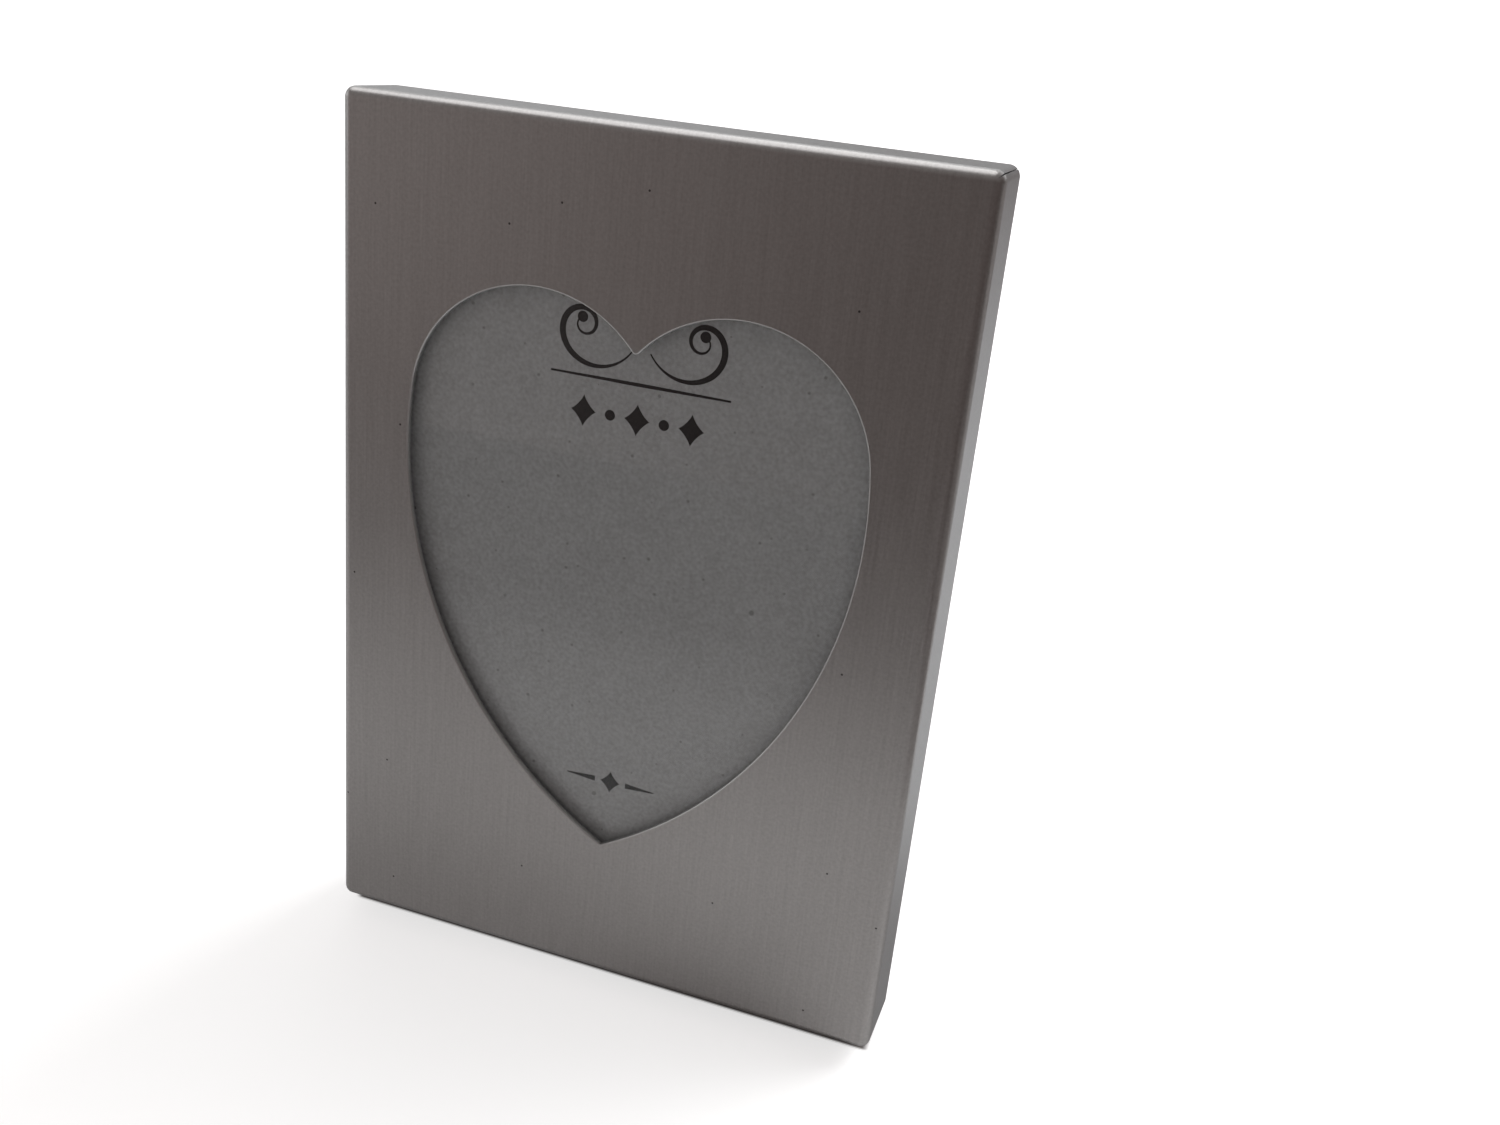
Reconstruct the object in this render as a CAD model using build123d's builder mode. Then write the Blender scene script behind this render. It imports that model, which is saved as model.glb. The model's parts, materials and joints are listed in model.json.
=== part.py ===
from build123d import *
import math
import os

# A small free-standing photo frame: a folded aluminium shell with a heart window, which
# leans back on a hinged easel leg. Sizes are in millimetres. +Z is up, +X is to the right
# of someone who looks at the front, and that person stands on the -Y side. The origin is
# on the table, under the middle of the whole object.

# The print that the frame holds, and the layers stacked behind the window
print_width = 50.8
print_height = 76.2
print_thickness = 0.25
pane_thickness = 1.0
pane_edge = 0.15
filler_thickness = 1.0
board_thickness = 1.6
flock_thickness = 0.25
layer_clearance = 0.3

# Moulded ring that holds the layers, taped inside the shell
side_rail = 4.55
end_rail = 4.85
ring_clearance = 0.15
ring_lead_in = 0.4
tape_thickness = 0.2
tape_width = 3.0

# Folded sheet shell
frame_depth = 8.0
lean_angle = 17.5
sheet_thickness = 0.6
bend_inside_radius = 0.4
corner_ease = 0.25
mitre_slit = 0.2

# Heart window: a round lobe and a long flank on each side
heart_height = 56.8
lobe_radius = 13.0
lobe_spacing = 20.35
shoulder_angle = 7.3
cusp_radius = 0.45
window_edge = 0.12

# Easel hinge
hinge_height = 62.0
leaf_thickness = 0.5
pin_radius = 0.6
pin_fit = 0.02
pin_running_clearance = 0.05
pin_overhang = 0.3
pin_end_chamfer = 0.15
plate_width = 16.0
plate_length = 11.0
plate_corner = 2.0
middle_knuckle = 7.0
knuckle_gap = 0.15
swing_gap = 0.5
stop_gap = 0.04
stop_length = 4.0
fold_gap = 0.1
leg_leaf_width = 13.0
leg_leaf_length = 11.0

# Easel leg
leg_top_width = 17.0
leg_foot_width = 27.0
leg_top_corner = 3.0
leg_fold_clearance = 0.55

# Rivets through the hinge leaves
rivet_radius = 0.75
rivet_fit = 0.02
rivet_head_radius = 1.5
rivet_head_height = 0.5
rivet_crown_radius = 0.9
plate_rivet_pitch = 9.0
plate_rivet_height = 7.5
leg_rivet_pitch = 8.0
leg_rivet_drop = 7.0

# Turn buttons that hold the back in, and their screws
button_spread = 44.0
button_reach = 7.0
button_width = 4.0
button_tip_width = 3.0
button_thickness = 0.8
button_lift = 0.1
screw_radius = 0.85
screw_length = 4.2
screw_point = 0.8
screw_fit = 0.02
screw_running_clearance = 0.08
screw_head_radius = 1.6
screw_head_height = 0.9
screw_head_chamfer = 0.35

# Outer sizes of the ring and the shell, built up round the print
opening_width = print_width + 2 * layer_clearance
opening_height = print_height + 2 * layer_clearance
ring_width = opening_width + 2 * side_rail
ring_height = opening_height + 2 * end_rail
frame_width = ring_width + 2 * (ring_clearance + sheet_thickness)
frame_height = ring_height + 2 * (ring_clearance + sheet_thickness)
bend_radius = bend_inside_radius + sheet_thickness
corner_inside_radius = bend_inside_radius + corner_ease
corner_radius = corner_inside_radius + sheet_thickness

# Depth of each layer's front behind the front face
pane_depth = sheet_thickness
print_depth = pane_depth + pane_thickness
filler_depth = print_depth + print_thickness
board_depth = filler_depth + filler_thickness
flock_depth = board_depth + board_thickness
back_depth = flock_depth + flock_thickness
ring_depth = sheet_thickness + tape_thickness
plate_back_depth = back_depth + leaf_thickness
button_depth = back_depth + button_lift
screw_seat_depth = button_depth + button_thickness + button_lift

# Hinge section, measured from the pin's axis: negative is towards the back board
fixed_bore = pin_radius + pin_fit
moving_bore = pin_radius + pin_running_clearance
knuckle_radius = moving_bore + leaf_thickness
pin_depth = back_depth + knuckle_radius
leaf_front = fold_gap - knuckle_radius
leg_front = leaf_front + leaf_thickness
leg_skin = leg_front + board_thickness
leg_back = leg_skin + flock_thickness
leg_top = knuckle_radius + swing_gap

# The frame stands on the back edge of its bottom flange, and the leg, which is as long as
# folds away inside the shell, opens until its foot reaches the table.
lean = math.radians(lean_angle)
face_up = Vector(0, math.sin(lean), math.cos(lean))
face_in = Vector(0, math.cos(lean), -math.sin(lean))
flange_rise = frame_depth * math.sin(lean)
pin_rise = flange_rise + hinge_height * face_up.Z + pin_depth * face_in.Z
leg_length = hinge_height - sheet_thickness - leg_fold_clearance
leg_reach = math.hypot(leg_length, leg_back)
leg_slope = math.acos(pin_rise / leg_reach) - math.atan2(leg_back, leg_length)
open_angle = lean_angle + math.degrees(leg_slope)
leg_up = Vector(0, -math.sin(leg_slope), math.cos(leg_slope))
leg_out = Vector(0, math.cos(leg_slope), math.sin(leg_slope))

# The front bend and the back of the foot are the ends of the plan, which is centred
front_end = bend_radius * (face_up.Y + face_in.Y - 1)
pin_run = hinge_height * face_up.Y + pin_depth * face_in.Y
foot_end = pin_run + leg_back * leg_out.Y - leg_length * leg_up.Y
base = Vector(0, -(front_end + foot_end) / 2, flange_rise)
face_centre = base + face_up * (frame_height / 2)
pin_centre = base + face_up * hinge_height + face_in * pin_depth


def front_at(depth):
    """Plane at a depth behind the front face, seen from the front."""
    return Plane(face_centre + face_in * depth, x_dir=(1, 0, 0), z_dir=-face_in)


def back_at(depth):
    """Plane at a depth behind the front face, seen from the back."""
    return Plane(face_centre + face_in * depth, x_dir=(-1, 0, 0), z_dir=face_in)


def leg_at(offset):
    """Plane along the open leg, seen from the back, with its origin beside the pin."""
    return Plane(pin_centre + leg_out * offset, x_dir=(-1, 0, 0), z_dir=leg_out)


def rivet(grip):
    """Pan-head rivet: its head sits on the XY plane, its tail is hammered flush below."""
    with BuildPart() as one_rivet:
        with BuildSketch(Plane.XZ):
            with BuildLine():
                Polyline(
                    (0, rivet_head_height),
                    (rivet_crown_radius, rivet_head_height),
                    (rivet_head_radius, 0),
                    (rivet_radius, 0),
                    (rivet_radius, -grip),
                    (0, -grip),
                    close=True,
                )
            make_face()
        revolve(axis=Axis.Z)
    return one_rivet.part


def button_screw():
    """Pan-head screw: its head sits on the XY plane, its shank points down."""
    with BuildPart() as one_screw:
        with BuildSketch(Plane.XZ):
            with BuildLine():
                Polyline(
                    (0, screw_head_height),
                    (screw_head_radius - screw_head_chamfer, screw_head_height),
                    (screw_head_radius, screw_head_height - screw_head_chamfer),
                    (screw_head_radius, 0),
                    (screw_radius, 0),
                    (screw_radius, screw_point - screw_length),
                    (0, -screw_length),
                    close=True,
                )
            make_face()
        revolve(axis=Axis.Z)
    return one_screw.part


hinge_side = Plane(pin_centre, x_dir=face_in, z_dir=(1, 0, 0))
leg_side = Plane(pin_centre, x_dir=leg_out, z_dir=(1, 0, 0))
hinge_level = hinge_height - frame_height / 2
button_pitch = opening_width + side_rail
rivet_hole = rivet_radius + rivet_fit
screw_hole = screw_radius + screw_fit
pieces = {}

# Front shell: one sheet, folded back on four sides. A mitred slit parts the flanges at each
# corner, from the flat of the face to the back.
with BuildPart() as front_shell:
    with BuildSketch(front_at(0)):
        RectangleRounded(frame_width, frame_height, corner_radius)
    extrude(amount=-frame_depth)
    face_plane = Axis(face_centre, -face_in)
    fillet(front_shell.edges().group_by(face_plane)[-1], bend_radius)
    offset(amount=-sheet_thickness, openings=front_shell.faces().sort_by(face_plane)[0])
    with BuildSketch(front_at(0)) as heart:
        lobe_centre = (lobe_spacing / 2, heart_height / 2 - lobe_radius)
        cusp_angle = math.degrees(math.acos(-lobe_spacing / 2 / lobe_radius))
        with BuildLine():
            lobe = CenterArc(lobe_centre, lobe_radius, shoulder_angle, cusp_angle - shoulder_angle)
            flank = TangentArc(lobe @ 0, (0, -heart_height / 2), tangent=-(lobe % 0))
            Line(flank @ 1, lobe @ 1)
        make_face()
        mirror(about=Plane.YZ)
        fillet(heart.vertices().group_by(Axis.X)[1].sort_by(Axis.Y)[-1], cusp_radius)
    extrude(amount=-sheet_thickness, mode=Mode.SUBTRACT)
    heart_edges = front_shell.faces().sort_by(face_plane)[-1].inner_wires()[0].edges()
    chamfer(heart_edges, window_edge)
    mitre_reach = math.sqrt(2) * corner_radius - corner_ease
    with BuildSketch(front_at(0)):
        for side in (1, -1):
            with Locations((frame_width / 2, side * frame_height / 2)):
                Rectangle(2 * mitre_reach, mitre_slit, rotation=side * 45)
        mirror(about=Plane.YZ)
    extrude(amount=-frame_depth, mode=Mode.SUBTRACT)
pieces["front_shell"] = front_shell

# Strips of tape between the shell and the ring
with BuildPart() as mounting_tape:
    with BuildSketch(front_at(sheet_thickness)):
        with GridLocations(button_pitch, 0, 2, 1):
            Rectangle(tape_width, opening_height)
        with GridLocations(0, opening_height + end_rail, 1, 2):
            Rectangle(opening_width, tape_width)
    extrude(amount=-tape_thickness)
pieces["mounting_tape"] = mounting_tape

# Ring: a moulded rectangle with pilot holes for the button screws
with BuildPart() as inner_frame:
    with BuildSketch(front_at(ring_depth)):
        RectangleRounded(ring_width, ring_height, corner_inside_radius)
    extrude(amount=ring_depth - back_depth)
    chamfer(inner_frame.faces().sort_by(face_plane)[-1].edges(), bend_inside_radius)
    with BuildSketch(back_at(back_depth)):
        Rectangle(opening_width, opening_height)
    extrude(amount=ring_depth - back_depth, mode=Mode.SUBTRACT)
    chamfer(inner_frame.faces().sort_by(face_plane)[0].inner_wires()[0].edges(), ring_lead_in)
    with Locations(back_at(screw_seat_depth)):
        with GridLocations(button_pitch, button_spread, 2, 2):
            Hole(screw_hole, depth=screw_length)
pieces["inner_frame"] = inner_frame

# Clear pane with ground edges, then the print and the card that presses it forward
with BuildPart() as glass_pane:
    with BuildSketch(front_at(pane_depth)):
        Rectangle(print_width, print_height)
    extrude(amount=-pane_thickness)
    chamfer(glass_pane.edges(), pane_edge)
pieces["glass_pane"] = glass_pane

with BuildPart() as photo_insert:
    with BuildSketch(front_at(print_depth)):
        Rectangle(print_width, print_height)
    extrude(amount=-print_thickness)
pieces["photo_insert"] = photo_insert

with BuildPart() as filler_card:
    with BuildSketch(front_at(filler_depth)):
        Rectangle(print_width, print_height)
    extrude(amount=-filler_thickness)
pieces["filler_card"] = filler_card

# Back board and its flocked skin, both drilled for the hinge rivets
with BuildPart() as back_panel:
    with BuildSketch(front_at(board_depth)):
        Rectangle(print_width, print_height)
    extrude(amount=-board_thickness)
    with Locations(front_at(board_depth)):
        with Locations((0, hinge_level + plate_rivet_height)):
            with GridLocations(plate_rivet_pitch, 0, 2, 1):
                Hole(rivet_hole)
pieces["back_panel"] = back_panel

with BuildPart() as back_flock:
    with BuildSketch(back_at(flock_depth)):
        Rectangle(print_width, print_height)
        with Locations((0, hinge_level + plate_rivet_height)):
            with GridLocations(plate_rivet_pitch, 0, 2, 1):
                Circle(rivet_hole, mode=Mode.SUBTRACT)
    extrude(amount=flock_thickness)
pieces["back_flock"] = back_flock

# Fixed hinge plate: a flat leaf whose lower edge is curled into two outer knuckles
with BuildPart() as hinge_plate:
    notch = knuckle_radius + knuckle_gap
    with BuildSketch(back_at(back_depth)):
        with Locations((0, hinge_level + notch)):
            Rectangle(plate_width, plate_length - notch, align=(Align.CENTER, Align.MIN))
    extrude(amount=leaf_thickness)
    fillet(hinge_plate.edges().filter_by(Axis((0, 0, 0), face_in)).group_by(Axis.Z)[-1], plate_corner)
    knuckle_width = (plate_width - middle_knuckle) / 2 - knuckle_gap
    knuckle_start = middle_knuckle / 2 + knuckle_gap
    with BuildSketch(hinge_side.offset(knuckle_start), hinge_side.offset(-plate_width / 2)):
        Circle(knuckle_radius)
        with Locations((-knuckle_radius, 0)):
            Rectangle(leaf_thickness, notch, align=(Align.MIN, Align.MIN))
        Circle(fixed_bore, mode=Mode.SUBTRACT)
    extrude(amount=knuckle_width)
    with Locations(back_at(plate_back_depth)):
        with Locations((0, hinge_level + plate_rivet_height)):
            with GridLocations(plate_rivet_pitch, 0, 2, 1):
                Hole(rivet_hole)
pieces["hinge_plate"] = hinge_plate

with BuildPart() as hinge_rivets:
    with Locations(back_at(plate_back_depth)):
        with Locations((0, hinge_level + plate_rivet_height)):
            with GridLocations(plate_rivet_pitch, 0, 2, 1):
                add(rivet(plate_back_depth - board_depth))
pieces["hinge_rivets"] = hinge_rivets

with BuildPart() as hinge_pin:
    with BuildSketch(hinge_side):
        Circle(pin_radius)
    extrude(amount=plate_width / 2 + pin_overhang, both=True)
    chamfer(hinge_pin.edges().filter_by(GeomType.CIRCLE), pin_end_chamfer)
pieces["hinge_pin"] = hinge_pin

# Moving leaf: it lies under the leg, curls round the pin between the outer knuckles, and
# ends in a tongue that meets the fixed plate when the leg is open
with BuildPart() as leg_hinge_leaf:
    with BuildSketch(leg_at(leaf_front)):
        with Locations((0, -leg_top)):
            Rectangle(leg_leaf_width, leg_leaf_length - leg_top, align=(Align.CENTER, Align.MAX))
    extrude(amount=leaf_thickness)
    leaf_corners = leg_hinge_leaf.edges().filter_by(Axis((0, 0, 0), leg_out)).group_by(Axis.Z)[0]
    fillet(leaf_corners, plate_corner)
    with BuildSketch(leg_side):
        Circle(knuckle_radius)
        with Locations((leaf_front, 0)):
            Rectangle(leaf_thickness, leg_top, align=(Align.MIN, Align.MAX))
    extrude(amount=middle_knuckle / 2, both=True)
    with BuildSketch(hinge_side):
        with Locations((leaf_thickness + stop_gap - knuckle_radius, 0)):
            Rectangle(leaf_thickness, stop_length, align=(Align.MIN, Align.MIN))
    extrude(amount=middle_knuckle / 2, both=True)
    with BuildSketch(hinge_side):
        Circle(moving_bore)
    extrude(amount=plate_width, both=True, mode=Mode.SUBTRACT)
    with Locations(Plane(leg_at(leaf_front).origin, x_dir=(1, 0, 0), z_dir=-leg_out)):
        with Locations((0, -leg_rivet_drop)):
            with GridLocations(leg_rivet_pitch, 0, 2, 1):
                Hole(rivet_hole)
pieces["leg_hinge_leaf"] = leg_hinge_leaf


def leg_outline():
    """Tapered outline of the leg, drawn from below its top edge to past the table."""
    with BuildSketch() as outline:
        with BuildLine():
            Polyline(
                (leg_top_width / 2, -leg_top),
                (leg_foot_width / 2, -leg_length),
                (leg_foot_width / 2, -leg_length - leg_back),
                (-leg_foot_width / 2, -leg_length - leg_back),
                (-leg_foot_width / 2, -leg_length),
                (-leg_top_width / 2, -leg_top),
                close=True,
            )
        make_face()
        fillet(outline.vertices().group_by(Axis.Y)[-1], leg_top_corner)
        with Locations((0, -leg_rivet_drop)):
            with GridLocations(leg_rivet_pitch, 0, 2, 1):
                Circle(rivet_hole, mode=Mode.SUBTRACT)
    return outline.sketch


# Leg board and its flocked skin, both cut level where the foot stands on the table
with BuildPart() as easel_leg:
    with BuildSketch(leg_at(leg_front)):
        add(leg_outline())
    extrude(amount=board_thickness)
    split(bisect_by=Plane.XY)
pieces["easel_leg"] = easel_leg

with BuildPart() as leg_flock:
    with BuildSketch(leg_at(leg_skin)):
        add(leg_outline())
    extrude(amount=flock_thickness)
    split(bisect_by=Plane.XY)
pieces["leg_flock"] = leg_flock

with BuildPart() as leg_rivets:
    with Locations(leg_at(leg_back)):
        with Locations((0, -leg_rivet_drop)):
            with GridLocations(leg_rivet_pitch, 0, 2, 1):
                add(rivet(leg_back - leaf_front))
pieces["leg_rivets"] = leg_rivets

# Turn buttons on the side rails, pointing in over the back board
corners = [(side, level) for level in (1, -1) for side in (1, -1)]
for number, (side, level) in enumerate(corners, start=1):
    with BuildPart() as turn_button:
        with BuildSketch(back_at(button_depth)):
            with Locations((side * button_pitch / 2, level * button_spread / 2)):
                Circle(button_width / 2)
            with Locations((side * (button_pitch / 2 - button_reach), level * button_spread / 2)):
                Circle(button_tip_width / 2)
            make_hull()
            with Locations((side * button_pitch / 2, level * button_spread / 2)):
                Circle(screw_radius + screw_running_clearance, mode=Mode.SUBTRACT)
        extrude(amount=button_thickness)
    pieces[f"turn_button_{number}"] = turn_button

with BuildPart() as button_screws:
    with Locations(back_at(screw_seat_depth)):
        with GridLocations(button_pitch, button_spread, 2, 2):
            add(button_screw())
pieces["button_screws"] = button_screws

os.makedirs("parts", exist_ok=True)
for name, piece in pieces.items():
    piece.part.label = name
    export_step(piece.part, f"parts/{name}.step")

print(f"shell {frame_width:.2f} x {frame_height:.2f} x {frame_depth:.2f} mm")
print(f"heart width {2 * flank.bounding_box().max.X:.2f} mm, flank radius {flank.radius:.2f} mm")
print(f"pin axis at y {pin_centre.Y:.4f}, z {pin_centre.Z:.4f} mm; leg opens {open_angle:.3f} degrees")
for number, (side, level) in enumerate(corners, start=1):
    pivot = face_centre + face_up * (level * button_spread / 2) + face_in * button_depth
    print(f"turn_button_{number} pivot {-side * button_pitch / 2:.4f}, {pivot.Y:.4f}, {pivot.Z:.4f} mm")
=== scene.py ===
"""Looks of a small photo frame: a folded aluminium shell with a heart window and an easel leg.

The packed CAD model is loaded as a fixed frame, in metres. The operators give each piece its
finish, put finer meshes in the place of some nodes, and set up the floor, lights and camera.
"""
import json
import math
from typing import NamedTuple

import bmesh
import bpy
from bpy.props import FloatProperty, FloatVectorProperty, PointerProperty
from bpy.types import Operator, Panel, PropertyGroup
from mathutils import Matrix, Vector


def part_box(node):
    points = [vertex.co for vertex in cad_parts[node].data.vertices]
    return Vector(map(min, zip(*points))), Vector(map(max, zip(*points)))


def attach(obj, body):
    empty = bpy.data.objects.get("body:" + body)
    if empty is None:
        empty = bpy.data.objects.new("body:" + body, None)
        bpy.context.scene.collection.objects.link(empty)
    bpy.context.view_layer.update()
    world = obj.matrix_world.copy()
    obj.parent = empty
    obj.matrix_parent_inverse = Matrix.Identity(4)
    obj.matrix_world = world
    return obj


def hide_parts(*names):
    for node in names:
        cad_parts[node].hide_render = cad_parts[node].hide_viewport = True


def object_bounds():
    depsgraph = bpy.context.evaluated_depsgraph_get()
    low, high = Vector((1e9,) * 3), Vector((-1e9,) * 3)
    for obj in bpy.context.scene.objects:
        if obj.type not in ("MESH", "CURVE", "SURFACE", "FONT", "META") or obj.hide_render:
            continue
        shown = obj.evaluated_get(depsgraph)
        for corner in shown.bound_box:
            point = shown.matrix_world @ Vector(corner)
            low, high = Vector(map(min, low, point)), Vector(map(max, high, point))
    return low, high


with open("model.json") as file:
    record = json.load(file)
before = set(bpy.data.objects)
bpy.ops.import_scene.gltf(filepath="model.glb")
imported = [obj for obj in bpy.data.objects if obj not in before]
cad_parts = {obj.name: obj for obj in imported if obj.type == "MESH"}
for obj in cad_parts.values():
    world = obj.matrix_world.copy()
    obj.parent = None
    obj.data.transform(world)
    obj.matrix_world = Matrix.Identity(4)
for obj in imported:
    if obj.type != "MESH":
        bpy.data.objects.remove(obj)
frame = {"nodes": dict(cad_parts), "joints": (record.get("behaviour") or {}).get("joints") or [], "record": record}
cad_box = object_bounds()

bl_info = {
    "name": "Heart-window photo frame",
    "version": (1, 0, 0),
    "blender": (4, 5, 0),
    "location": "View3D > Sidebar > Photo frame",
    "description": "Finishes and finer meshes for a folded aluminium photo frame",
    "category": "Object",
}

MM = 0.001
RIGHT = Vector((1, 0, 0))
CORNERS = ((1, 1), (-1, 1), (-1, -1), (1, -1))

# Steps of the curved meshes
BEND_STEPS = 10
EDGE_STEPS = 4
CORNER_STEPS = 8
SIDE_STEPS = 18
FLANK_STEPS = 44
LOBE_STEPS = 52
CUSP_STEPS = 6
ROUND_STEPS = 40
CROWN_STEPS = 8
SCROLL_STEPS = 90
RULE_STEPS = 20
DASH_STEPS = 10

# Edges, with angles in degrees. Over the crease angle an edge is shaded sharp, over the eased angle it
# is rounded on a CAD node, and under the flat angle two faces of a CAD node are joined into one.
CREASE_ANGLE = 38.0
EASED_ANGLE = 35.0
EASED_SEGMENTS = 2
FLAT_ANGLE = 0.5
WELD_DISTANCE = 0.0005 * MM

# The slit between two sides: where in the bend it starts, the share of the bend over which it opens,
# and its width at the rim as a share of its full width
SLIT_START = 0.3
SLIT_RUN = 0.4
SLIT_AT_RIM = 0.4

# The scrolls of the print: where they start from the middle of the rule, their first heading, even
# turn and last curl in degrees, their width at the ends as a share of the full one, the power by which
# the width swells, and the size of the eye in widths
SCROLL_OFFSET = (0.9 * MM, 3.1 * MM)
SCROLL_HEADINGS = (-58, 250, 330)
SCROLL_THIN = 0.22
SWELL_POWER = 1.5
EYE_SIZE = 1.7

# The share by which the rule tapers, and the row under it: its drop, how many motifs stand on each side
# of the middle one, and the size of a dot and the height of a lozenge in motif widths
RULE_TAPER = 0.45
ROW_DROP = 3.4 * MM
MOTIFS_A_SIDE = 2
DOT_SIZE = 0.4
LOZENGE_RISE = 1.2

# The small ornament near the tip: its lozenge, and the dashes beside it, which taper by a share a step
FOOT_SIZE = (2.2 * MM, 2.5 * MM)
DASH_START = 1.7 * MM
DASH_PITCH = 0.32 * MM
DASH_WIDTH = 0.6 * MM
DASH_TAPER = 0.085

# The power that curves the sides of a lozenge: at 1 they are straight, and at 2 it is round
HOLLOW_SIDES = 0.8
ROUND_SIDES = 2.0

# The bevel under a screw's head, and the length and width of its recess at the bottom, as shares of
# those at the mouth
SCREW_LIP = 0.08 * MM
RECESS_BOTTOM = (0.45, 0.6)

# The strip of floor under the bottom side, where the camera sees the real shade and a painted shadow:
# the soft edge at its ends, where it begins and is full behind the front, and half of its soft rear edge
CONTACT_SIDE = 1 * MM
CONTACT_FRONT = (1.35 * MM, 1.8 * MM)
CONTACT_REAR = 0.5 * MM

# Where each light of the room begins and is full, by the direction that it comes from
LEFT_SIDE = (-0.15, -0.65)
LEFT_WINDOW = (-0.84, -0.95)
OVERHEAD = (0.1, 0.9)
FAR_WALL = (0.15, 0.95)


class FloorPart(NamedTuple):
    """A soft-edged part of the floor: its strength, and the steps in metres that bound it."""

    strength: float
    across: tuple
    along: tuple = ()


# Parts of the floor that mirrored and bounced light meets with painted shade: behind the object, off
# to the right, a painted contact shadow at the right foot, and in front on the right
PAINTED_SHADE_FLOOR = (
    FloorPart(1.0, ((-0.25, -0.08),), ((0.045, 0.32),)),
    FloorPart(0.75, ((0.07, 0.125),)),
    FloorPart(0.55, ((0.024, 0.03),), ((-0.022, -0.012), (0.024, -0.004))),
    FloorPart(0.25, ((-0.002, 0.018),), ((-0.01, -0.03), (-0.12, -0.07))),
)
# The part just left of the middle that glows as painted light for mirrored and bounced light
PAINTED_LIGHT_FLOOR = FloorPart(0.14, ((0.012, -0.012), (-0.055, -0.012)), ((-0.05, -0.02),))

# Places that the packed model gives: the face leans back by the flange's slope, and the open leg
# slopes the other way.
mounts = {mount["name"]: mount for mount in frame["record"]["mounts"]}
joints = {joint["name"]: joint for joint in frame["joints"]}
flange = mounts["bottom_flange"]
face_up = -Vector(flange["axis"])
face_out = Vector((0, -face_up.z, face_up.y))
lean_angle = math.atan2(face_up.y, face_up.z)
leg_fold = joints["leg_fold"]
leg_slope = -math.radians(leg_fold["range_deg"][0]) - lean_angle
leg_out = Vector((0, math.cos(leg_slope), math.sin(leg_slope)))
leg_up = Vector((0, -math.sin(leg_slope), math.cos(leg_slope)))
shell_low, shell_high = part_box("front_shell")


def length(name, description, size):
    """A length in metres."""
    return FloatProperty(
        name=name, description=description, default=size, min=0.0, unit="LENGTH", precision=5
    )


def offset(name, description, size):
    """A distance in metres that may be negative."""
    return FloatProperty(name=name, description=description, default=size, unit="LENGTH", precision=5)


def angle(name, description, degrees):
    """An angle, given in degrees."""
    return FloatProperty(name=name, description=description, default=math.radians(degrees), subtype="ANGLE")


def share(name, description, amount):
    """A share from nothing to all."""
    return FloatProperty(
        name=name, description=description, default=amount, min=0.0, max=1.0, subtype="FACTOR"
    )


def power(name, description, watts):
    """The power of a light."""
    return FloatProperty(name=name, description=description, default=watts, min=0.0, unit="POWER")


def colour(name, description, rgb):
    """A plain colour."""
    return FloatVectorProperty(
        name=name, description=description, default=rgb, size=3, min=0.0, max=1.0, subtype="COLOR"
    )


def spot(name, description, origin):
    """A point, in metres."""
    return FloatVectorProperty(
        name=name, description=description, default=origin, size=3, subtype="TRANSLATION", unit="LENGTH"
    )


class ShellSettings(PropertyGroup):
    """Folded aluminium shell with its heart window, and the pane behind it."""

    width: length("Width", "Outside width of the shell", shell_high.x - shell_low.x)
    height: length("Height", "Outside height of the shell, up its face", 88 * MM)
    depth: length("Depth", "Depth of the folded sides", 8 * MM)
    sheet: length("Sheet", "Thickness of the aluminium sheet", 0.6 * MM)
    bend: length("Bend", "Outside radius of the folds", 1.0 * MM)
    corner: length("Corner", "Outside radius where two sides meet", 1.05 * MM)
    slit: length("Slit", "Width of the slit between two sides", 0.12 * MM)
    rim: length("Rim", "Rounding of the rear edge", 0.1 * MM)
    heart_height: length("Heart height", "Height of the window", 56.8 * MM)
    lobe_radius: length("Lobe radius", "Radius of the window's upper lobes", 13.0 * MM)
    lobe_spacing: length("Lobe spacing", "Distance between the lobes' centres", 20.35 * MM)
    shoulder: angle("Shoulder", "Where a lobe runs into its flank", 7.3)
    cusp: length("Cusp", "Rounding of the point between the lobes", 0.45 * MM)
    window_edge: length("Window edge", "Rounding of the window's front edge", 0.16 * MM)
    metal: colour("Metal", "Colour of the satin aluminium", (0.49, 0.482, 0.476))
    edge_tint: colour("Edge tint", "Tint of the metal at a glancing angle", (0.74, 0.76, 0.78))
    cut_metal: colour("Cut metal", "Colour of the bare metal where the window is cut", (0.64, 0.645, 0.64))
    roughness: share("Roughness", "Mean roughness of the satin finish", 0.32)
    pane_width: length("Pane width", "Width of the pane and the layers behind it", 50.8 * MM)
    pane_height: length("Pane height", "Height of the pane and the layers behind it", 76.2 * MM)
    pane_front: length("Pane front", "Depth of the pane's front face", 0.63 * MM)
    pane_back: length("Pane back", "Depth of the pane's back face", 1.55 * MM)
    pane_edge: length("Pane edge", "Ground edge of the pane", 0.15 * MM)
    glass: colour("Glass", "Tint of the pane", (0.975, 0.98, 0.98))


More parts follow.
